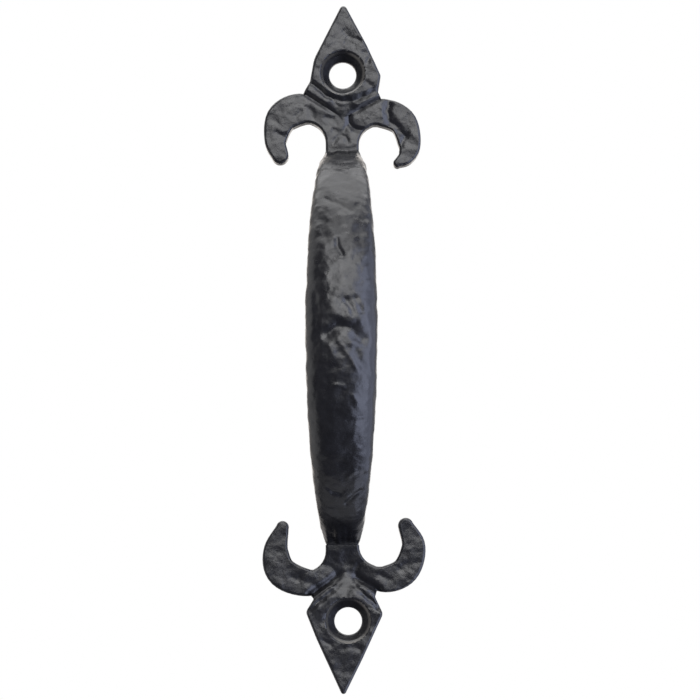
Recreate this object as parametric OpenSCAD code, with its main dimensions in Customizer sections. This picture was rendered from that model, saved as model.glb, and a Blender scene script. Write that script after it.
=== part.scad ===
// Fleur-de-lis pull handle: a bowed iron grip that ends, above and below, in a flat neck,
// two curling horns and a spearhead with one countersunk screw hole.
// The door face is the plane y = 0, the handle stands out toward -Y and +Z is up.
// The origin lies on the door face, midway between the two screw holes.

/* [Overall] */
// Distance between the two screw holes, along the handle
hole_spacing = 120.7; // [100:0.1:160]
// Thickness of the horns and necks, which lie on the door
plate_t = 3.6; // [3:0.1:5]
// How far each spearhead stands above the horns beside it
spear_rise = 0.9; // [0.4:0.1:1.5]
// Depth of the V groove that makes a collar at the root of each spearhead
groove_depth = 0.7; // [0.3:0.1:1.2]

/* [Grip] */
// Distance from the door to the front of the grip at mid-length
grip_reach = 32.7; // [28:0.1:45]
// Width of the grip at mid-length
grip_w = 15.5; // [11:0.1:20]
// Thickness of the grip at mid-length, front to back
grip_t = 9; // [6:0.1:12]
// Width of the grip where it meets a neck, and of both necks
neck_w = 7.3; // [6:0.1:9]

/* [Screw holes] */
// Diameter of each screw hole
screw_hole_d = 6; // [4:0.1:6.5]
// Diameter of the countersink at the front of each spearhead
countersink_d = 9.4; // [7:0.1:10]
// Full angle of the countersink
countersink_angle = 90; // [82:1:100]
// Depth of the straight recess in front of the countersink
recess_depth = 1.6; // [0.2:0.1:2]

/* [Hidden] */

black_iron = [0.17, 0.17, 0.18];
hole_z = hole_spacing / 2;
spear_t = plate_t + spear_rise;
cut_margin = 1;        // how far every cutting tool runs past the face it cuts
arc_step = 12;         // degrees turned by one facet of a rounded corner
horn_steps = 7;        // facets along each stretch between two horn stations
bore_sides = 64;

// Each end of the handle is drawn in its own flat frame: the first number runs to the right and the
// second runs outward, away from the grip. The screw hole is at or just outward of [0, 0].
UPPER = 0;
LOWER = 1;
hole_out = [0.7, 0];
end_z = hole_z - (hole_out[UPPER] + hole_out[LOWER]) / 2;   // from mid-length to each end's [0, 0]
mid_z = (hole_out[LOWER] - hole_out[UPPER]) / 2;            // height of mid-length above the origin
crease = -16.5;        // where the neck meets the foot of the grip
foot_z = end_z + crease;
neck_centre = [-0.25, -1.1];

// Corners of each spearhead as [right, outward, corner radius], counterclockwise from the tip
spear_corners = [
    [
        [0.3, 16.6, 0.8], [-6.3, 3.8, 6], [-7.2, -1, 2.5], [-8.7, -3.6, 0],
        [-0.1, -9.4, 1.5],
        [8.4, -4.9, 0], [7.75, -3.6, 1], [8.4, 0, 1], [5.5, 6.6, 10]
    ],
    [
        [-1.2, 16.6, 0.6], [-6.9, 3.9, 20], [-9.2, -2, 1.3], [-7.4, -4.8, 0.5], [-8.1, -5.6, 0],
        [-0.6, -10.9, 2],
        [6.4, -6.7, 0], [5.9, -5.1, 0.6], [7.6, -1.4, 1.5], [3, 8.3, 20]
    ]
];

// Line of the collar groove across each spearhead: left end, middle, right end
groove_line = [
    [[-8.6, -0.2], [-0.2, -7], [10, -1.9]],
    [[-9.4, -1.6], [-0.3, -9], [8.6, -1.2]]
];
groove_w = 1.1;

// Spine of each horn as [right, outward, half width], from its root to its round tip
left_horn_spine = [
    [[-2.6, -9, 1.9], [-8.5, -7, 3.3], [-13.4, -8.9, 3.4], [-15, -13.9, 2.45], [-14, -17.4, 1.85]],
    [[-3, -10, 1.9], [-8.5, -8.4, 2.9], [-14.2, -10.6, 3.35], [-15.6, -15.3, 2.75], [-14.1, -20.5, 1.35]]
];
right_horn_spine = [
    [[3, -9.6, 1.9], [8, -8, 3], [13, -10, 3], [14.6, -15, 2.5], [13.8, -17.9, 1.8], [11.9, -19.4, 0.9]],
    [[3.4, -10.2, 1.9], [8.1, -9, 2.85], [12.6, -10.9, 3], [14.4, -16, 2.6], [12.75, -20.6, 1.65]]
];

// Seam between each horn's root and the neck as [right, outward, corner radius], from the bay inward
left_seam = [
    [[-7.3, -12, 0], [-1.8, -11, 2.5], [-1.3, 0, 0]],
    [[-7.3, -12.7, 0], [-2.6, -11.7, 2.5], [-2.1, 0, 0]]
];
right_seam = [
    [[7.3, -12.6, 0], [1.3, -11.6, 2.5], [0.8, 0, 0]],
    [[7.3, -13.6, 0], [1.8, -12.6, 2.5], [1.3, 0, 0]]
];

// The bay between a neck and each horn: [left, right] height of its floor, then its shape
bay_floor = [[-11.7, -12.3], [-12.4, -13.4]];
bay_radius = 4.4;      // round of the corner between the floor and the neck
bay_width = 4.5;       // how far the floor runs from the neck before the horn takes over
bay_rise = 2;          // how much the floor climbs over that width

// ---- Curves ----

function unit(v) = v / norm(v);
function angle_between(v, w) = acos(v * w);
function turned(v, angle) = [v.x * cos(angle) - v.y * sin(angle), v.x * sin(angle) + v.y * cos(angle)];

// One polygon corner [x, y, radius] as an arc tangent to both of its sides
function corner_arc(before, corner, after) =
    let (
        here = [corner.x, corner.y],
        back = unit([before.x, before.y] - here),
        ahead = unit([after.x, after.y] - here),
        half = angle_between(back, ahead) / 2,
        centre = here + unit(back + ahead) * corner[2] / sin(half),
        start = here + back * corner[2] / tan(half) - centre,
        sweep = (half * 2 - 180) * sign(cross(back, ahead)),
        steps = ceil(abs(sweep) / arc_step)
    )
    corner[2] == 0 ? [here] : [for (i = [0:steps]) centre + turned(start, sweep * i / steps)];

function rounded(corners) =
    let (n = len(corners))
    [for (i = [0:n - 1]) each corner_arc(corners[(i + n - 1) % n], corners[i], corners[(i + 1) % n])];

// Smooth curve through stations: the point and the direction at step t of the stretch after station i
function around(p, i) =
    let (
        last = len(p) - 1,
        before = i > 0 ? p[i - 1] : 2 * p[0] - p[1],
        after = i + 1 < last ? p[i + 2] : 2 * p[last] - p[last - 1]
    )
    [before, p[i], p[i + 1], after];
function spline_point(q, t) =
    q[1] + t / 2 * ((q[2] - q[0]) + t * ((2 * q[0] - 5 * q[1] + 4 * q[2] - q[3])
    + t * (3 * q[1] - q[0] - 3 * q[2] + q[3])));
function spline_way(q, t) =
    (q[2] - q[0]) + 2 * t * (2 * q[0] - 5 * q[1] + 4 * q[2] - q[3])
    + 3 * t * t * (3 * q[1] - q[0] - 3 * q[2] + q[3]);

// Cubic curve from p[0] to p[3], steered by p[1] and p[2]: the point and the direction at t
function bezier(p, t) =
    let (s = 1 - t)
    s * s * s * p[0] + 3 * s * s * t * p[1] + 3 * s * t * t * p[2] + t * t * t * p[3];
function bezier_way(p, t) =
    let (s = 1 - t)
    s * s * (p[1] - p[0]) + 2 * s * t * (p[2] - p[1]) + t * t * (p[3] - p[2]);

// ---- Flat outlines of one end ----

// A band of changing width along a spine, with a round tip
function edge_point(p, i, t, side) =
    let (
        q = around(p, i),
        here = spline_point(q, t),
        way = spline_way(q, t)
    )
    [here.x, here.y] + side * here[2] * turned(unit([way.x, way.y]), 90);

function edge(p, side) =
    [for (i = [0:len(p) - 2], s = [0:horn_steps - 1]) edge_point(p, i, s / horn_steps, side)];

function band(p) =
    let (
        last = len(p) - 1,
        tip = p[last],
        way = spline_way(around(p, last - 1), 1),
        across = tip[2] * turned(unit([way.x, way.y]), 90),
        near = edge(p, 1),
        far = edge(p, -1)
    )
    concat(
        near,
        [for (angle = [0:arc_step:180]) [tip.x, tip.y] + turned(across, -angle)],
        [for (i = [len(far) - 1:-1:0]) far[i]]
    );

module spear_outline(end) {
    polygon(rounded(spear_corners[end]));
}

// The neck and the webs that join it to both horns
module web_outline(end) {
    left = neck_centre[end] - neck_w / 2;
    right = neck_centre[end] + neck_w / 2;
    left_floor = bay_floor[end][0];
    right_floor = bay_floor[end][1];
    polygon(rounded([
        [left, crease, 0],
        [right, crease, 0],
        [right, right_floor, bay_radius],
        [right + bay_width, right_floor + bay_rise, 0],
        [0, 0, 0],
        [left - bay_width, left_floor + bay_rise, 0],
        [left, left_floor, bay_radius]
    ]));
}

// The ground that belongs to the neck: everything between the two seams
module neck_ground(end) {
    left = left_seam[end];
    right = right_seam[end];
    below = crease - cut_margin;
    polygon(rounded(concat(
        [[left[0].x, below, 0], [right[0].x, below, 0]],
        right,
        [left[2], left[1], left[0]]
    )));
}

// The web on one side only: side is -1 for the left horn's root and 1 for the right one's
module web_half(end, side) {
    reach = 30;
    intersection() {
        web_outline(end);
        translate([side < 0 ? -reach : 0, -reach])
            square([reach, 2 * reach]);
    }
}

// ---- Solids ----

// Moves one end's own frame to its place on the handle
module place(end) {
    translate([0, 0, mid_z])
        mirror([0, 0, end == UPPER ? 0 : 1])
            translate([0, 0, end_z])
                children();
}

// A flat outline as a plate that lies on the door
module plate(thickness) {
    rotate([90, 0, 0])
        linear_extrude(thickness)
            children();
}

// A flat outline as a cutting tool that runs right through every plate
module cutter() {
    translate([0, cut_margin, 0])
        plate(spear_t + 2 * cut_margin)
            children();
}

// Screw hole from the door face, with its countersink set back in a straight recess
module screw_bore() {
    sink_r = countersink_d / 2;
    hole_r = screw_hole_d / 2;
    sink_depth = (sink_r - hole_r) / tan(countersink_angle / 2);
    rotate([90, 0, 0]) {
        translate([0, 0, -cut_margin])
            cylinder(h = spear_t + 2 * cut_margin, r = hole_r, $fn = bore_sides);
        translate([0, 0, spear_t - recess_depth - sink_depth])
            cylinder(h = sink_depth, r1 = hole_r, r2 = sink_r, $fn = bore_sides);
        translate([0, 0, spear_t - recess_depth])
            cylinder(h = recess_depth + cut_margin, r = sink_r, $fn = bore_sides);
    }
}

// Trench of even width along the three points of a V, in the front face of a spearhead
module collar_groove(line) {
    first = unit(line[1] - line[0]);
    second = unit(line[2] - line[1]);
    half_w = groove_w / 2;
    middle = turned(unit(first + second), 90) * half_w / cos(angle_between(first, second) / 2);
    left = turned(first, 90) * half_w;
    right = turned(second, 90) * half_w;
    translate([0, groove_depth - spear_t, 0])
        rotate([90, 0, 0])
            linear_extrude(groove_depth + cut_margin)
                polygon([
                    line[0] + left, line[0] - left, line[1] - middle,
                    line[2] - right, line[2] + right, line[1] + middle
                ]);
}

module spearhead(end) {
    place(end)
        difference() {
            plate(spear_t) spear_outline(end);
            translate([0, 0, hole_out[end]])
                screw_bore();
            collar_groove(groove_line[end]);
        }
}

// side is -1 for the left horn and 1 for the right one
module horn(end, side) {
    spine = side < 0 ? left_horn_spine[end] : right_horn_spine[end];
    place(end)
        difference() {
            union() {
                plate(plate_t) polygon(band(spine));
                plate(plate_t) web_half(end, side);
            }
            cutter() spear_outline(end);
            cutter() neck_ground(end);
        }
}

module neck(end) {
    place(end)
        difference() {
            plate(plate_t)
                intersection() {
                    web_outline(end);
                    neck_ground(end);
                }
            cutter() spear_outline(end);
        }
}

// ---- Grip ----

elbow_steps = 6;
bow_steps = 20;
section_sides = 28;
crease_w = neck_w + 0.9;              // width of the grip's foot
foot_out = 6;                         // distance from the door to the grip's axis above the elbow
axis_out = grip_reach - grip_t / 2;   // and at mid-length
lift_share = 0.6;                     // share of that rise the steering point of the bow has made
bow_lead = 2.2;                       // how far the elbow's steering point runs ahead of the bow
grip_taper = 0.02;                    // share by which the grip is wider above and narrower below
grip_sway = 0.12;                     // how far the grip bows to the left between its two feet

// The grip's path as [z, distance from the door, width, thickness, squareness of its section],
// with z counted from mid-length.
// The elbow lifts it off the neck, the bow carries it to mid-length.
bow_foot = [foot_z - 3.2, foot_out, crease_w + 1.2, 5, 3];
bow_lift = [foot_z - 7.1, foot_out + (axis_out - foot_out) * lift_share, grip_w * 0.73, grip_t * 0.82, 2.6];
bow_crown = [bow_foot.x * 0.55, axis_out, grip_w, grip_t, 2.5];
mid_length = [0, axis_out, grip_w, grip_t, 2.5];
lift_way = unit([bow_lift.x - bow_foot.x, bow_lift.y - bow_foot.y]) * bow_lead;

elbow_curve = [
    [foot_z, plate_t / 2, crease_w, plate_t, 8],
    [foot_z - 1.6, plate_t / 2, crease_w, plate_t, 6],
    [bow_foot.x - lift_way.x, bow_foot.y - lift_way.y, crease_w + 0.5, 4.2, 4],
    bow_foot
];
bow_curve = [bow_foot, bow_lift, bow_crown, mid_length];

half_path = [
    for (i = [0:elbow_steps - 1]) bezier(elbow_curve, i / elbow_steps),
    for (i = [0:bow_steps]) bezier(bow_curve, i / bow_steps)
];
half_way = [
    for (i = [0:elbow_steps - 1]) bezier_way(elbow_curve, i / elbow_steps),
    for (i = [0:bow_steps]) bezier_way(bow_curve, i / bow_steps)
];

// The grip leans a little, from the middle of one neck to the middle of the other, and sways
function grip_x(z) =
    (neck_centre[UPPER] + neck_centre[LOWER]) / 2
    + (neck_centre[UPPER] - neck_centre[LOWER]) / 2 * z / foot_z
    - grip_sway * (1 - pow(z / foot_z, 4));

function bulge(value, squareness) = sign(value) * pow(abs(value), 2 / squareness);

// Points of one cross-section; half is 1 above mid-length and -1 below it
function section(state, way, half) =
    let (
        out = unit([way.y, -way.x]),
        width = state[2] * (1 + grip_taper * half * state.x / foot_z)
    )
    [for (k = [0:section_sides - 1])
        let (
            angle = half * 360 * k / section_sides,
            across = width / 2 * bulge(cos(angle), state[4]),
            forward = state[3] / 2 * bulge(sin(angle), state[4]) * half,
            z = half * (state.x + forward * out.x)
        )
        [grip_x(half * state.x) + across, -(state.y + forward * out.y), z]
    ];

module grip() {
    last = len(half_path) - 1;
    rings = [
        for (i = [0:last]) section(half_path[i], half_way[i], 1),
        for (i = [last - 1:-1:0]) section(half_path[i], half_way[i], -1)
    ];
    n = section_sides;
    ends = len(rings) - 1;
    sides = [
        for (i = [0:ends - 1], k = [0:n - 1])
        let (a = i * n + k, b = i * n + (k + 1) % n)
        each [[a, b, b + n], [a, b + n, a + n]]
    ];
    polyhedron(
        points = [for (ring = rings) each ring],
        faces = concat(
            sides,
            [[for (k = [n - 1:-1:0]) k]],
            [[for (k = [0:n - 1]) ends * n + k]]
        ),
        convexity = 4
    );
}

// ---- Sub-parts ----

module grip_bar() { color(black_iron) translate([0, 0, mid_z]) grip(); }
module upper_spearhead() { color(black_iron) spearhead(UPPER); }
module upper_left_horn() { color(black_iron) horn(UPPER, -1); }
module upper_right_horn() { color(black_iron) horn(UPPER, 1); }
module upper_neck() { color(black_iron) neck(UPPER); }
module lower_spearhead() { color(black_iron) spearhead(LOWER); }
module lower_left_horn() { color(black_iron) horn(LOWER, -1); }
module lower_right_horn() { color(black_iron) horn(LOWER, 1); }
module lower_neck() { color(black_iron) neck(LOWER); }

grip_bar();
upper_spearhead();
upper_left_horn();
upper_right_horn();
upper_neck();
lower_spearhead();
lower_left_horn();
lower_right_horn();
lower_neck();
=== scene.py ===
import math

import bmesh
import bpy
import numpy as np
from mathutils import Matrix, Vector, noise
from mathutils.geometry import delaunay_2d_cdt


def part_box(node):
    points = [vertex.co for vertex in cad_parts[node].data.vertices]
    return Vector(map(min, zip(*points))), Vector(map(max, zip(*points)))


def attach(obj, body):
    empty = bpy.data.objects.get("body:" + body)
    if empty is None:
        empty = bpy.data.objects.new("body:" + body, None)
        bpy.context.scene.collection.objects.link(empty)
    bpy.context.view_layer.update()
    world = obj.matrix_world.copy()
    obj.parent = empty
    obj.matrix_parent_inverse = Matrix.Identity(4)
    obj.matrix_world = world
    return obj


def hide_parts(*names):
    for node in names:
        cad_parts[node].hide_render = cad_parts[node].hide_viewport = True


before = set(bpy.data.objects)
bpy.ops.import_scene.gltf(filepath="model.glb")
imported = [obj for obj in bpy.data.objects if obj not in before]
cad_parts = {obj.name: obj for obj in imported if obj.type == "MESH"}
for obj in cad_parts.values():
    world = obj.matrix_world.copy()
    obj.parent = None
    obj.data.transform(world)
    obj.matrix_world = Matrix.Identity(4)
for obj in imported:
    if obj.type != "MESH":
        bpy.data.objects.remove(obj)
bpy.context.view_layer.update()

# A fleur-de-lis pull handle of black hammered iron. Lengths in this script are in millimetres, in the
# frame of the CAD model, and become metres where a mesh, a lamp or the camera is made.
MM = 0.001

# ---- Sizes read from the frame ----


def node_box(node):
    """Lowest and highest corner of a CAD node, in millimetres in the frame."""
    low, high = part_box(node)
    return np.array(low) / MM, np.array(high) / MM


grip_low, grip_high = node_box("grip_bar")
MID_Z = round(float(grip_low[2] + grip_high[2]) / 2, 2)   # height of mid-length in the frame
FOOT_Z = round(float(grip_high[2]) - MID_Z, 2)            # from mid-length to the feet of the grip
REACH = float(-grip_low[1])
PLATE_T = float(-node_box("upper_neck")[0][1])
SPEAR_T = float(-node_box("upper_spearhead")[0][1])

# Everything below is drawn from mid-length, and make_piece() moves it to its height in the frame.
# Each end also has flat coordinates of its own, [right, outward] from the middle of its spearhead.
CREASE_IN = 16.5       # from that middle in to the crease, where the grip lifts off the neck
END_Z = FOOT_Z + CREASE_IN
HOLE_OUT = {"upper": 0.7, "lower": 0}   # how far out of that middle the screw hole lies
SINK_R = 4.7           # radius of the countersink's mouth, as in the CAD model
ENDS = {"upper": 1, "lower": -1}
PLATES = ("spearhead", "left_horn", "right_horn", "neck")

SHARP_ANGLE = 50       # degrees between two faces above which their edge looks sharp

# ---- Small tools ----


def unit(v):
    return v / np.linalg.norm(v)


def smooth(low, high, value):
    """0 below low, 1 above high, and a smooth step between them."""
    t = np.clip((value - low) / (high - low), 0, 1)
    return t * t * (3 - 2 * t)


def ridge(distance, width):
    """1 on a line, falling softly to 0 at about twice the width from it."""
    return np.exp(-((distance / width) ** 2))


def distance_to(points, segments):
    """Distance of each 2-D point from the nearest of the segments, given as pairs of ends."""
    best = np.full(len(points), 1e9)
    for start, end in segments:
        run = end - start
        along = np.clip((points - start) @ run / max(run @ run, 1e-12), 0, 1)
        gap = points - start - along[:, None] * run
        best = np.minimum(best, np.hypot(gap[:, 0], gap[:, 1]))
    return best


def soft_distance(points, segments):
    """The same for short segments, without the fold in it between the two arms of a bend."""
    pull = np.zeros(len(points))
    for start, end in segments:
        run = end - start
        middle = (start + end) / 2
        square = ((points - middle) ** 2).sum(1) + run @ run / 4
        pull += np.sqrt(run @ run) / square ** 2
    return np.minimum(distance_to(points, segments), (math.pi / 2 / pull) ** (1 / 3))


def field(points, size, seed):
    """Smooth noise between about -1 and 1, with bumps of the given size, at 3-D points."""
    shift = Vector((seed * 17.3, seed * 5.1, seed * 9.7))
    return np.array([noise.noise(Vector(p) / size + shift) for p in points])


def on_door(points):
    """[x, z] points as 3-D points."""
    return np.column_stack([points[:, 0], np.zeros(len(points)), points[:, 1]])


def make_piece(node, bm, material):
    """Turns a bmesh in millimetres into the piece that stands for one CAD node."""
    name = f"{node}_iron"
    bmesh.ops.recalc_face_normals(bm, faces=bm.faces)
    mesh = bpy.data.meshes.new(name)
    bm.to_mesh(mesh)
    bm.free()
    mesh.transform(Matrix.Scale(MM, 4) @ Matrix.Translation((0, 0, MID_Z)))
    mesh.shade_smooth()
    mesh.set_sharp_from_angle(angle=math.radians(SHARP_ANGLE))
    mesh.materials.append(material)
    piece = bpy.data.objects.new(name, mesh)
    bpy.context.scene.collection.objects.link(piece)
    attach(piece, "root")
    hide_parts(node)


# ---- Plates: outlines from the CAD nodes ----

MESH_STEP = 0.25       # spacing of the points on the plates
RIM_GAP = 0.15         # how clear of the rim the points inside it stay
WALL_STEP = 0.6        # height of the faces in a plate's wall
BACK_SKIN = 0.01       # a face no further from the door than this is on the flat back
TOUCH = 0.03           # outlines nearer to each other than this touch
LEVEL = 0.02           # a segment no further from the crease's height than this lies on the crease


def door_loops(node):
    """The loops that bound a node's flat back, as arrays of [x, z], the outer one first."""
    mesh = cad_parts[node].data
    uses = {}
    for face in mesh.polygons:
        corners = [mesh.vertices[i].co / MM for i in face.vertices]
        if min(corner.y for corner in corners) < -BACK_SKIN:
            continue
        keys = [(round(corner.x, 5), round(corner.z - MID_Z, 5)) for corner in corners]
        for a, b in zip(keys, keys[1:] + keys[:1]):
            if (b, a) in uses:
                del uses[(b, a)]
            else:
                uses[(a, b)] = True
    follows = {a: b for a, b in uses}
    loops = []
    while follows:
        start, here = follows.popitem()
        loop = [start]
        while here != start:
            loop.append(here)
            here = follows.pop(here)
        loops.append(np.array(loop))
    return sorted(loops, key=lambda loop: np.ptp(loop[:, 1]), reverse=True)


def segments_of(loop):
    return list(zip(loop, np.roll(loop, -1, axis=0)))


def fine(line, closed=True):
    """The line or loop with extra points, so that no side is longer than the mesh step."""
    points = []
    for start, end in segments_of(line) if closed else zip(line, line[1:]):
        count = max(1, math.ceil(np.linalg.norm(end - start) / MESH_STEP))
        points += [start + (end - start) * i / count for i in range(count)]
    return np.array(points)


def shared(segments, others):
    """Which segments lie on one of the other outlines."""
    middles = np.array([(a + b) / 2 for a, b in segments])
    return distance_to(middles, others) < TOUCH


def inside(points, loop):
    """Which points lie inside a closed loop."""
    result = np.zeros(len(points), bool)
    for a, b in segments_of(loop):
        if abs(b[1] - a[1]) < 1e-12:
            continue
        straddles = (a[1] > points[:, 1]) != (b[1] > points[:, 1])
        at = a[0] + (points[:, 1] - a[1]) / (b[1] - a[1]) * (b[0] - a[0])
        result ^= straddles & (points[:, 0] < at)
    return result


def on_plate(points, loops):
    """Which points lie inside a plate's outline and outside its holes."""
    result = inside(points, loops[0])
    for hole in loops[1:]:
        result &= ~inside(points, hole)
    return result


def outline_of(end):
    """For one end: each plate's loops, and the segments of its outer edge and of its seams."""
    loops = {part: door_loops(f"{end}_{part}") for part in PLATES}
    fine_loops = {part: [fine(loop) for loop in loops[part]] for part in PLATES}
    sides = {part: segments_of(loops[part][0]) for part in PLATES}
    crease = ENDS[end] * FOOT_Z
    outer, v_seam, neck_seam = [], [], []
    for part in PLATES:
        segments = segments_of(fine_loops[part][0])
        touching = {other: shared(segments, sides[other]) for other in PLATES if other != part}
        for index, segment in enumerate(segments):
            beside = {other for other in touching if touching[other][index]}
            at_crease = all(abs(point[1] - crease) < LEVEL for point in segment)
            if part == "spearhead":
                (v_seam if beside else outer).append(segment)
            elif "spearhead" in beside or at_crease:
                continue
            elif part == "neck":
                if not beside:
                    outer.append(segment)
            else:
                (neck_seam if "neck" in beside else outer).append(segment)
    return fine_loops, outer, v_seam, neck_seam


# ---- Relief of the two ends ----

# Line of the collar groove as [right, outward], as in the CAD model
GROOVE = {
    "upper": [(-8.6, -0.2), (-0.2, -7), (10, -1.9)],
    "lower": [(-9.4, -1.6), (-0.3, -9), (8.6, -1.2)],
}
# How deep the seams are pressed: the left and the right arm of the spearhead's V, and the left and
# the right root of the neck
SEAM_DEPTH = {"upper": (0.35, 0.3), "lower": (0.75, 0.75)}
ROOT_DEPTH = {"upper": (0.0, 0.4), "lower": (0.12, 0.15)}
# The same for the collar groove, and for how far the front drops from the kite to the collar
GROOVE_DEPTH = {"upper": (0.3, 0.15), "lower": (0.2, 0.2)}
COLLAR_DROP = {"upper": (0.5, 0.25), "lower": (0.2, 0.2)}
# Half width of the V seam, middle of the neck, and how far the neck sinks between crease and V
SEAM_W = {"upper": 0.5, "lower": 0.85}
NECK_X = {"upper": -0.25, "lower": -1.1}
NECK_SAG = {"upper": 0.05, "lower": 0.4}

ROOT_W = 0.6            # half width of the seams at the neck's roots
GROOVE_W = 0.5          # half width of the collar groove
GROOVE_CLEAR = 1.2      # it fades this near to the V seam
ARM_START = (-0.4, 4)   # distances from the V's corner over which its arms reach full depth
DROP_START = (-1.5, 3)  # distances from the corner over which the collar's drop reaches its full size
SEAM_RUN = 0.9          # how far the step from the horns up to the collar takes
KITE_RUN = 0.9          # and the one from the collar up to the kite
CORNER_RUN = 4.5        # how much longer the first is at the V's corner, and the second by half of it
CORNER_W = 4            # how far from the corner they are longer
SAG_START = (0, 5)      # distances from the crease over which it sinks
SAG_END = (6, 10)       # and over which it comes back up
SAG_SIDE = (3, 9)       # distances from the middle of the neck over which it fades
EDGE_RUN = 0.45         # how far in from the edge the front rounds over
EDGE_DROP = 0.36        # how far it drops there
LEVEL_DROP = 0.12       # how far the mean surface lies below the CAD face, to leave room for the marks
MARKS_START = 1.5       # the hammer marks reach their full height this far from the crease
RECESS = 1.6            # depth of the straight recess in front of the countersink
WALL_RUN = 0.28         # half the run of its wall
WANDER = 0.3            # how far a fold strays from its line

# Folds and dents of each plate: line as [right, outward], depth (negative for a ridge), half width
FOLDS = {
    "upper_right_horn": [
        ([(10.2, -5.4), (9.6, -8), (10.3, -10.2), (12.2, -12), (13.6, -13.4)], 0.34, 0.9),
        ([(13.8, -13.5), (12.9, -15.5), (12, -16.5)], 0.16, 0.6),
        ([(8.6, -7.2), (8.8, -9.2)], -0.12, 0.4),
    ],
    "upper_left_horn": [
        ([(-10.4, -8.6), (-9.4, -7.9)], 0.14, 0.7),
        ([(-7.6, -7.3), (-6.6, -8.6)], 0.16, 0.8),
        ([(-14.6, -12.4), (-13.2, -13.4), (-12.6, -13)], 0.12, 0.6),
        ([(-3.6, -9.3), (-2.4, -9.4)], 0.12, 0.6),
    ],
    "upper_spearhead": [
        ([(0.6, 9.8), (1.6, 8.7), (3.2, 8.2)], 0.16, 0.7),
        ([(0.9, 7.6), (2.4, 7.1), (3.9, 7.6)], 0.14, 0.6),
        ([(4.9, 5.2), (6.1, 4.4), (5.6, 3.1)], 0.14, 0.5),
        ([(5.2, -1.5), (6.3, -2.4)], 0.12, 0.6),
        ([(-2.5, -4.7), (-0.2, -5.6), (2.7, -5.3), (5.2, -4.6), (7.4, -3.9)], 0.22, 0.5),
    ],
    "upper_neck": [
        ([(-2, -12), (-0.8, -12.6), (0.2, -12.1)], 0.12, 0.5),
        ([(-1.8, -14.4), (-1.2, -13.4), (0.6, -13.4), (1, -14.6)], 0.14, 0.5),
        ([(1.2, -10.4), (0.6, -11.4)], 0.12, 0.5),
    ],
    "lower_spearhead": [
        ([(-5.6, 4), (-4, 5.2)], 0.16, 0.6),
        ([(-1, 5.9), (0.6, 5.5), (2.4, 6.2)], 0.14, 0.8),
        ([(-4.6, -1.4), (-5.4, 0.4)], 0.12, 0.5),
    ],
    "lower_left_horn": [
        ([(-8.6, -8.4), (-7, -7.6)], 0.14, 0.8),
        ([(-12, -9.6), (-10.4, -9.2)], 0.12, 0.8),
    ],
    "lower_right_horn": [
        ([(7.4, -9.8), (8.8, -8.8)], 0.16, 0.8),
        ([(11.4, -11.4), (12.8, -12)], 0.12, 0.8),
    ],
}


def edge_drop(gap):
    """How far the front has dropped at this distance from the edge."""
    inward = np.clip(gap / EDGE_RUN, 0, 1)
    return EDGE_DROP * (1 - np.sqrt(1 - (1 - inward) ** 2))


def hammered(points, strength=1.0):
    """Height of the hammer marks over 3-D points on any surface."""
    broad = field(points, 4.6, 1) * 0.13
    middle = field(points, 2.1, 2) * 0.09
    small = field(points, 1.05, 4) * 0.035
    grain = field(points, 0.6, 3) * 0.016
    return (broad + middle + small + grain) * strength


def wandering(points, amount):
    """The 2-D points shifted a little by noise, so that a line drawn through them looks hand-made."""
    place = on_door(points)
    return points + amount * np.column_stack([field(place, 1.3, 7), field(place, 1.3, 8)])


def dents(points, lines, wander):
    """Total depth of the given folds at 2-D points."""
    depth = np.zeros(len(points))
    astray = wandering(points, wander)
    for line, deep, half_width in lines:
        ends = [np.array(p) for p in line]
        depth += deep * ridge(distance_to(astray, list(zip(ends, ends[1:]))), half_width)
    return depth


def arms(local, middle, left, right):
    """A depth that differs on the two arms of a V and fades towards the corner between them."""
    side = np.where(local[:, 0] < middle, left, right)
    return side * smooth(*ARM_START, np.abs(local[:, 0] - middle))


def neck_sag(end, local, to_crease):
    """How far the neck sinks between the crease and the V."""
    along = smooth(*SAG_START, to_crease) * (1 - smooth(*SAG_END, to_crease))
    return NECK_SAG[end] * along * (1 - smooth(*SAG_SIDE, np.abs(local[:, 0] - NECK_X[end])))


def collar(end, local, to_v):
    """How far a spearhead's front drops to its collar and to the horns, with the groove between."""
    corner = GROOVE[end][1][0]
    line = fine(np.array(GROOVE[end]), closed=False)
    to_groove = soft_distance(wandering(local, WANDER), list(zip(line, line[1:])))
    beyond = local[:, 1] - np.interp(local[:, 0], *zip(*GROOVE[end]))
    into_kite = np.where(beyond > 0, to_groove, 0)
    from_corner = np.abs(local[:, 0] - corner)
    longer = CORNER_RUN * (1 - smooth(0, CORNER_W, from_corner))
    drop = np.where(local[:, 0] < corner, *COLLAR_DROP[end]) * smooth(*DROP_START, from_corner)
    depth = drop * (1 - smooth(0, KITE_RUN + longer / 2, into_kite))
    depth += (SPEAR_T - PLATE_T - drop) * (1 - smooth(0, SEAM_RUN + longer, to_v))
    groove = arms(local, corner, *GROOVE_DEPTH[end]) * ridge(to_groove, GROOVE_W)
    return depth + groove * smooth(0, GROOVE_CLEAR, to_v)


def countersink(end, local):
    """Depth of the straight recess and of the 90 degree cone in it."""
    inward = SINK_R - np.hypot(local[:, 0], local[:, 1] - HOLE_OUT[end])
    return RECESS * smooth(-WALL_RUN, WALL_RUN, inward) + np.clip(inward, 0, None)


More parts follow.
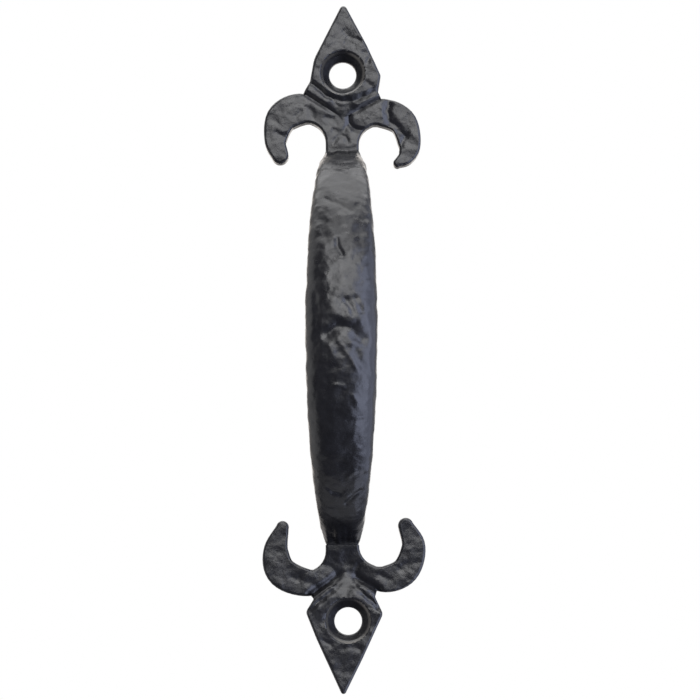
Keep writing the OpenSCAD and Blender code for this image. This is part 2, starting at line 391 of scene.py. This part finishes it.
def plate_height(end, part, points, outer, v_seam, neck_seam):
    """Height of the front surface above the door, at [x, z] points of one plate."""
    local = np.column_stack([points[:, 0], points[:, 1] * ENDS[end] - END_Z])
    corner = GROOVE[end][1][0]
    to_crease = np.abs(local[:, 1] + CREASE_IN)
    to_v = soft_distance(points, v_seam)
    face = SPEAR_T if part == "spearhead" else PLATE_T
    height = face - LEVEL_DROP + hammered(on_door(points)) * smooth(0, MARKS_START, to_crease)
    height -= arms(local, corner, *SEAM_DEPTH[end]) * ridge(to_v, SEAM_W[end])
    height -= neck_sag(end, local, to_crease)
    height -= edge_drop(distance_to(points, outer))
    height -= dents(local, FOLDS.get(f"{end}_{part}", []), WANDER)
    if part == "spearhead":
        height -= collar(end, local, to_v)
        height -= countersink(end, local)
    else:
        root = np.where(local[:, 0] < 0, *ROOT_DEPTH[end])
        height -= root * ridge(distance_to(points, neck_seam), ROOT_W)
    return np.minimum(height, face)


def filling(loops):
    """Points spread evenly over the plate, clear of its rim."""
    low = loops[0].min(0)
    high = loops[0].max(0)
    rows = np.arange(low[1], high[1], MESH_STEP * math.sqrt(3) / 2)
    points = np.array([
        (x + (index % 2) * MESH_STEP / 2, z)
        for index, z in enumerate(rows)
        for x in np.arange(low[0], high[0], MESH_STEP)
    ])
    keep = on_plate(points, loops)
    for loop in loops:
        keep &= distance_to(points, segments_of(loop)) > RIM_GAP
    return points[keep]


def triangulated(loops):
    """A plate filled with triangles: its points, the triangles, and the edges of its rim."""
    points = np.concatenate(loops + [filling(loops)])
    starts = np.cumsum([0] + [len(loop) for loop in loops])
    rim = [
        (start + i, start + (i + 1) % len(loop))
        for start, loop in zip(starts, loops)
        for i in range(len(loop))
    ]
    flat = delaunay_2d_cdt([Vector(p) for p in points], rim, [], 0, 1e-7)
    corners = np.array([tuple(v) for v in flat[0]])
    faces = np.array([face for face in flat[2] if len(face) == 3])
    return corners, faces[on_plate(corners[faces].mean(1), loops)], rim


def plate_piece(end, part, outline, material):
    """A plate with its relief: a triangulated front, the same flat back, and walls between them."""
    fine_loops, outer, v_seam, neck_seam = outline
    corners, faces, rim = triangulated(fine_loops[part])
    height = plate_height(end, part, corners, outer, v_seam, neck_seam)
    bm = bmesh.new()
    front = [bm.verts.new((x, -h, z)) for (x, z), h in zip(corners, height)]
    back = [bm.verts.new((x, 0, z)) for x, z in corners]
    for face in faces:
        bm.faces.new([front[i] for i in face])
        bm.faces.new([back[i] for i in reversed(face)])
    levels = round(PLATE_T / WALL_STEP)
    columns = {}

    def column(i):
        """The wall's points from front to back at one point of the rim."""
        if i not in columns:
            x, z = corners[i]
            between = [bm.verts.new((x, -height[i] * k / levels, z)) for k in range(levels - 1, 0, -1)]
            columns[i] = [front[i]] + between + [back[i]]
        return columns[i]

    for a, b in rim:
        left = column(a)
        right = column(b)
        for k in range(levels):
            bm.faces.new([left[k], right[k], right[k + 1], left[k + 1]])
    make_piece(f"{end}_{part}", bm, material)


# ---- Grip ----

# Sizes of the grip, as in the CAD model
GRIP_W = 15.5
GRIP_T = 9
NECK_W = 7.3
CREASE_W = 8.2         # width of the grip's foot
FOOT_AWAY = 6          # distance from the door to the grip's axis above the elbow
LIFT_SHARE = 0.6       # share of the rise from there that the bow's steering point has made
BOW_LEAD = 2.2         # how far the elbow's steering point runs ahead of the bow
TAPER = 0.02           # share by which the grip is wider above and narrower below
SWAY = 0.12            # how far it bows to the left between its two feet

RINGS = 460            # steps of the surface along the grip
AROUND = 150           # and round it
FOOT_RUN = 0.7         # over this length the foot narrows to the width of the neck
FRONT = (-0.2, 0.5)    # forward direction, from -1 to 1, over which the back gives way to the front
RISE_LAG = 0.5         # how far in from the crease the front starts to rise
STREAKS = 0.9          # share by which that distance varies across the foot
LAG_END = (2, 8)       # distances from the crease over which it fades
FILLET_START = (-0.3, 1.5)   # distances from the crease over which the fillet starts
FILLET_END = (2, 5)          # and over which it ends
FILLET_PASSES = 140
SKIN = 0.12            # how far the mean surface lies inside the CAD skin, to leave room for the marks
GRIP_MARKS = 1.35      # height of the hammer marks, as a share of those on the plates
MARK_RINGS = 6         # the marks start over this many rings from each foot
STROKE_FACING = 0.4    # a stroke has its full depth where the surface faces forward by this much
GRIP_WANDER = 0.16     # how far a stroke strays from its line

# Strokes on the front of the grip as [x, z] lines: depth (negative for a ridge), half width
STROKES = [
    ([(-1.6, 20.3), (-1.5, 18.8), (-1, 17.6), (-0.5, 16.5)], 0.24, 0.5),
    ([(-4, 29.6), (-2.8, 28.9), (-1.2, 28.4), (0.3, 27.4), (1.5, 26.6)], 0.14, 0.5),
    ([(-3.6, 27.9), (-2.9, 27), (-1.6, 26.9)], -0.1, 0.7),
    ([(2.6, 27), (3.4, 24.6), (3.2, 22)], 0.2, 1.2),
    ([(-5, 24.4), (-4.2, 21)], 0.16, 1.3),
    ([(3, 19.4), (3.6, 17.4)], 0.12, 1.0),
    ([(-3.9, -0.6), (-1.5, 1.2), (1.3, 0.9), (3.6, -1.5)], 0.55, 1.5),
    ([(-1.4, -1.9), (0.6, -4.6), (2.6, -8)], -0.14, 0.5),
    ([(-3.4, -3), (-2.4, -5)], -0.12, 0.5),
    ([(2.3, -4), (3.2, -6.4), (4.4, -8.2)], 0.22, 0.9),
    ([(0.3, 7), (1.1, 5.4), (1.7, 3.9)], 0.16, 0.6),
    ([(2.3, 7), (3.2, 5.6), (3.6, 4.4)], 0.14, 0.6),
    ([(-4, -32.1), (-2.9, -33.2), (-1.5, -33.5)], 0.24, 0.5),
    ([(0, -35.5), (1.5, -34.1), (3.1, -33)], 0.24, 0.5),
    ([(0.6, -30), (1.7, -28.7)], -0.14, 0.5),
    ([(-2.1, -11.2), (-0.4, -11.6)], -0.12, 0.5),
    ([(1.5, -13.5), (2.5, -14.8)], -0.14, 0.5),
    ([(-6.3, 8.1), (-5.9, 2.3), (-6.1, -2.5)], 0.16, 0.7),
]


def bezier(p, t):
    """Point at t on the cubic curve from p[0] to p[3], steered by p[1] and p[2]."""
    s = 1 - t
    return s ** 3 * p[0] + 3 * s * s * t * p[1] + 3 * s * t * t * p[2] + t ** 3 * p[3]


def bezier_way(p, t):
    """Direction of the same curve at t."""
    s = 1 - t
    return s * s * (p[1] - p[0]) + 2 * s * t * (p[2] - p[1]) + t * t * (p[3] - p[2])


def grip_curves():
    """The elbow and the bow, two curves that run from the upper crease to mid-length.

    Their points are [z, distance from the door, width, thickness, squareness of the section].
    """
    crown = REACH - GRIP_T / 2
    lift_away = FOOT_AWAY + (crown - FOOT_AWAY) * LIFT_SHARE
    foot = np.array([FOOT_Z - 3.2, FOOT_AWAY, CREASE_W + 1.2, 5, 3])
    lift = np.array([FOOT_Z - 7.1, lift_away, GRIP_W * 0.73, GRIP_T * 0.82, 2.6])
    before = np.array([foot[0] * 0.55, crown, GRIP_W, GRIP_T, 2.5])
    middle = np.array([0, crown, GRIP_W, GRIP_T, 2.5])
    way = unit((lift - foot)[:2]) * BOW_LEAD
    start = np.array([FOOT_Z, PLATE_T / 2, CREASE_W, PLATE_T, 8])
    level = np.array([FOOT_Z - 1.6, PLATE_T / 2, CREASE_W, PLATE_T, 6])
    rise = np.array([foot[0] - way[0], foot[1] - way[1], CREASE_W + 0.5, 4.2, 4])
    return [start, level, rise, foot], [foot, lift, before, middle]


def steps_along(points):
    """Distance travelled at each point of a line."""
    return np.concatenate([[0], np.cumsum(np.linalg.norm(np.diff(points, axis=0), axis=1))])


def grip_stations():
    """The state and the direction at even steps from the upper crease to the lower one."""
    elbow, bow = grip_curves()
    dense = [(bezier(elbow, t), bezier_way(elbow, t)) for t in np.linspace(0, 1, 60)[:-1]]
    dense += [(bezier(bow, t), bezier_way(bow, t)) for t in np.linspace(0, 1, 400)]
    states = np.array([state for state, way in dense])
    ways = np.array([unit(way[:2]) for state, way in dense])
    travel = steps_along(states[:, :2])
    even = np.linspace(0, travel[-1], RINGS // 2 + 1)
    upper = np.column_stack([np.interp(even, travel, column) for column in states.T])
    heading = np.column_stack([np.interp(even, travel, column) for column in ways.T])
    lower = upper[-2::-1] * np.array([-1, 1, 1, 1, 1])
    lower_heading = heading[-2::-1] * np.array([1, -1])
    return np.vstack([upper, lower]), np.vstack([heading, lower_heading])


def section(width, depth, squareness):
    """One cross-section as [right, forward], its points spread evenly round the rim."""
    angles = np.linspace(0, 2 * math.pi, 8 * AROUND, endpoint=False)
    circle = np.column_stack([np.cos(angles), np.sin(angles)])
    rim = np.array([width, depth]) / 2 * np.sign(circle) * np.abs(circle) ** (2 / squareness)
    closed = np.vstack([rim, rim[:1]])
    travel = steps_along(closed)
    even = np.linspace(0, travel[-1], AROUND, endpoint=False)
    return np.column_stack([np.interp(even, travel, closed[:, 0]), np.interp(even, travel, closed[:, 1])])


def grip_x(z):
    """Where the middle of the grip lies, between the middles of the two necks."""
    middle = (NECK_X["upper"] + NECK_X["lower"]) / 2
    lean = (NECK_X["upper"] - NECK_X["lower"]) / 2
    return middle + lean * z / FOOT_Z - SWAY * (1 - (z / FOOT_Z) ** 4)


def filleted(points, states):
    """Starts the front's rise a little way in from each foot, with a soft fillet in its corner."""
    from_foot = FOOT_Z - np.abs(states[:, 0])
    front = smooth(*FRONT, np.sin(np.linspace(0, 2 * math.pi, AROUND, endpoint=False)))
    lag = RISE_LAG * (1 - smooth(*LAG_END, from_foot)) * np.sign(states[:, 0])
    lag[[0, -1]] = 0
    streaks = 1 + STREAKS * field(points[0] * np.array([1, 0, 0]), 0.9, 5)
    points[:, :, 2] -= lag[:, None] * front * streaks
    near_foot = smooth(*FILLET_START, from_foot) * (1 - smooth(*FILLET_END, from_foot))
    share = 0.5 * near_foot[1:-1, None, None] * front[None, :, None]
    for _ in range(FILLET_PASSES):
        middle = (points[2:] + points[:-2]) / 2
        points[1:-1] += (middle - points[1:-1]) * share
    return points


def grip_rings():
    """Rings of points round the smooth grip, from the upper crease to the lower one."""
    states, ways = grip_stations()
    rings = np.zeros((len(states), AROUND, 3))
    for ring, (z, away, width, depth, squareness), way in zip(rings, states, ways):
        width *= 1 + TAPER * z / FOOT_Z
        width -= (CREASE_W - NECK_W) * (1 - smooth(0, FOOT_RUN, FOOT_Z - abs(z)))
        profile = section(width, depth, squareness)
        ring[:, 0] = grip_x(z) + profile[:, 0]
        ring[:, 1] = -(away - profile[:, 1] * way[0])
        ring[:, 2] = z + profile[:, 1] * way[1]
    return filleted(rings, states)


def outward(rings):
    """The direction away from the grip at each point, square to the handle at its two feet."""
    along = np.gradient(rings, axis=0)
    around = np.roll(rings, -1, axis=1) - np.roll(rings, 1, axis=1)
    normals = np.cross(around, along)
    normals /= np.linalg.norm(normals, axis=2, keepdims=True)
    normals[[0, -1], :, 2] = 0
    return normals / np.linalg.norm(normals, axis=2, keepdims=True)


def grip_piece(material):
    """The grip with its hammer marks and strokes, inside the box of its CAD node."""
    rings = grip_rings()
    normals = outward(rings)
    points = rings.reshape(-1, 3)
    marks = hammered(points, GRIP_MARKS)
    facing = smooth(0, STROKE_FACING, -normals.reshape(-1, 3)[:, 1])
    marks -= dents(points[:, [0, 2]], STROKES, GRIP_WANDER) * facing
    fade = smooth(0, MARK_RINGS, np.arange(len(rings)))
    fade = np.minimum(fade, fade[::-1])[:, None]
    rings = rings + normals * (marks.reshape(rings.shape[:2]) * fade - SKIN)[:, :, None]
    mid = np.array([0, 0, MID_Z])
    rings = np.clip(rings, grip_low - mid, grip_high - mid)

    bm = bmesh.new()
    verts = [[bm.verts.new(point) for point in ring] for ring in rings]
    for near, far in zip(verts, verts[1:]):
        for k in range(AROUND):
            n = (k + 1) % AROUND
            bm.faces.new([near[k], near[n], far[n], far[k]])
    bm.faces.new(verts[0])
    bm.faces.new(verts[-1])
    make_piece("grip_bar", bm, material)


# ---- Material ----

NOISE_SPAN = (0.3, 0.7)           # between these values lies nearly all of a noise texture
ROUGHNESS = (0.26, 0.38)          # of the smoothest and of the dullest patches
DARK = (0.003, 0.003, 0.004, 1)   # colour of the enamel, from patch to patch
LIGHT = (0.008, 0.008, 0.0095, 1)


def black_iron():
    """Satin black enamel over hammered cast iron."""
    material = bpy.data.materials.new("black_iron")
    material.use_nodes = True
    nodes = material.node_tree.nodes
    links = material.node_tree.links
    shader = nodes["Principled BSDF"]
    place = nodes.new("ShaderNodeTexCoord").outputs["Object"]

    def noise_node(size, detail, roughness=0.5):
        node = nodes.new("ShaderNodeTexNoise")
        node.inputs["Scale"].default_value = 1 / (size * MM)
        node.inputs["Detail"].default_value = detail
        node.inputs["Roughness"].default_value = roughness
        links.new(place, node.inputs["Vector"])
        return node.outputs["Fac"]

    def ranged(value, low, high):
        node = nodes.new("ShaderNodeMapRange")
        node.inputs["From Min"].default_value = NOISE_SPAN[0]
        node.inputs["From Max"].default_value = NOISE_SPAN[1]
        node.inputs["To Min"].default_value = low
        node.inputs["To Max"].default_value = high
        links.new(value, node.inputs["Value"])
        return node.outputs["Result"]

    def bump(height, depth, before=None):
        node = nodes.new("ShaderNodeBump")
        node.inputs["Strength"].default_value = 1
        node.inputs["Distance"].default_value = depth * MM
        links.new(height, node.inputs["Height"])
        if before is not None:
            links.new(before, node.inputs["Normal"])
        return node.outputs["Normal"]

    tone = nodes.new("ShaderNodeValToRGB")
    tone.color_ramp.elements[0].position = 0.3
    tone.color_ramp.elements[0].color = DARK
    tone.color_ramp.elements[1].position = 0.75
    tone.color_ramp.elements[1].color = LIGHT
    links.new(noise_node(3.5, 6), tone.inputs["Fac"])
    links.new(tone.outputs["Color"], shader.inputs["Base Color"])
    links.new(ranged(noise_node(2.6, 5), *ROUGHNESS), shader.inputs["Roughness"])
    shader.inputs["Specular IOR Level"].default_value = 0.5
    coarse = bump(noise_node(1.1, 4), 0.06)
    grain = bump(noise_node(0.3, 3, 0.6), 0.015, coarse)
    links.new(grain, shader.inputs["Normal"])
    return material


# ---- Stage, lights and camera ----

BOWL_R = 3             # radius of the backdrop, in metres


def glowing_white():
    """A material that shines evenly, so that the backdrop is white."""
    material = bpy.data.materials.new("pale_backdrop")
    material.use_nodes = True
    nodes = material.node_tree.nodes
    nodes.clear()
    glow = nodes.new("ShaderNodeEmission")
    glow.inputs["Color"].default_value = (1, 1, 1, 1)
    output = nodes.new("ShaderNodeOutputMaterial")
    material.node_tree.links.new(glow.outputs["Emission"], output.inputs["Surface"])
    return material


def stage():
    """A pale seamless bowl all round, bright to the camera and dark to reflections."""
    bm = bmesh.new()
    bmesh.ops.create_uvsphere(bm, u_segments=48, v_segments=24, radius=BOWL_R)
    mesh = bpy.data.meshes.new("backdrop")
    bm.to_mesh(mesh)
    bm.free()
    mesh.materials.append(glowing_white())
    backdrop = bpy.data.objects.new("backdrop", mesh)
    bpy.context.scene.collection.objects.link(backdrop)
    backdrop.visible_glossy = False
    backdrop.visible_diffuse = False
    backdrop.visible_shadow = False


def softbox(name, azimuth, elevation, distance, size, radiance, colour):
    """A rectangular lamp that faces the handle. Azimuth 0 is in front of it and 90 is to its right."""
    lamp = bpy.data.lights.new(name, "AREA")
    lamp.shape = "RECTANGLE"
    lamp.size, lamp.size_y = size
    lamp.energy = radiance * math.pi * size[0] * size[1]
    lamp.color = colour
    thing = bpy.data.objects.new(name, lamp)
    a = math.radians(azimuth)
    e = math.radians(elevation)
    spot = Vector((math.sin(a) * math.cos(e), -math.cos(a) * math.cos(e), math.sin(e))) * distance
    thing.location = spot
    thing.rotation_euler = spot.to_track_quat("Z", "Y").to_euler()
    thing.visible_camera = False
    bpy.context.scene.collection.objects.link(thing)


COOL = (0.76, 0.83, 1.1)
PLAIN = (1, 1, 1)
WARM = (1, 0.94, 0.87)

# Soft boxes: azimuth, elevation, distance and size in metres, radiance, colour
SOFTBOXES = {
    "key": (4, 25, 1.2, (0.62, 0.76), 4.9, PLAIN),
    "key_low": (2, 3, 1.2, (0.9, 0.22), 0.25, PLAIN),
    "key_high": (0, 60, 1.2, (0.9, 0.8), 1.7, PLAIN),
    "ceiling": (180, 80, 1.2, (2.4, 1.5), 2.6, PLAIN),
    "right": (43, -2, 1.2, (0.82, 1.75), 3.8, COOL),
    "right_low": (75, -58, 1.2, (0.5, 0.6), 1.5, COOL),
    "right_far": (88, -5, 1.2, (1.1, 1.9), 1.8, COOL),
    "right_back": (140, 0, 1.3, (1.2, 2.2), 0.45, PLAIN),
    "back": (180, 20, 1.4, (1.3, 1.4), 1.6, WARM),
    "left_back": (-142, 0, 1.3, (1.2, 2.2), 0.6, WARM),
    "left_far": (-88, 0, 1.2, (1.2, 2.0), 0.9, PLAIN),
    "floor": (0, -87, 1.1, (2.0, 0.72), 0.42, PLAIN),
}
WORLD = (0.13, 0.13, 0.15, 1)   # the dim room round them


def lights():
    """The soft boxes, in a dim grey room."""
    for name, values in SOFTBOXES.items():
        softbox(name, *values)
    world = bpy.data.worlds.new("studio")
    world.use_nodes = True
    world.node_tree.nodes["Background"].inputs["Color"].default_value = WORLD
    bpy.context.scene.world = world


CAMERA_DISTANCE = 700
CAMERA_ELEVATION = -6        # in degrees: it looks up a little
CAMERA_ROLL = 0.59           # in degrees
FRAME_HEIGHT = 154.2         # height of the view at the handle
VIEW_CENTRE = (1.0, -0.85)   # x and z of the point on the door that it looks at
SENSOR_W = 36


def camera():
    """In front of the handle and a little below it."""
    data = bpy.data.cameras.new("camera")
    data.sensor_width = SENSOR_W
    data.lens = SENSOR_W * CAMERA_DISTANCE / FRAME_HEIGHT
    thing = bpy.data.objects.new("camera", data)
    e = math.radians(CAMERA_ELEVATION)
    centre = Vector((VIEW_CENTRE[0], 0, VIEW_CENTRE[1]))
    away = Vector((0, -math.cos(e), math.sin(e))) * CAMERA_DISTANCE
    roll = Matrix.Rotation(math.radians(-CAMERA_ROLL), 4, "Z")
    facing = away.to_track_quat("Z", "Y").to_matrix().to_4x4() @ roll
    thing.matrix_world = Matrix.Translation((centre + away) * MM) @ facing
    bpy.context.scene.collection.objects.link(thing)
    bpy.context.scene.camera = thing


def build():
    """The nine pieces of the handle, then the studio."""
    iron = black_iron()
    for end in ENDS:
        outline = outline_of(end)
        for part in PLATES:
            plate_piece(end, part, outline, iron)
    grip_piece(iron)
    stage()
    lights()
    camera()
    bpy.context.scene.view_settings.view_transform = "Standard"


build()
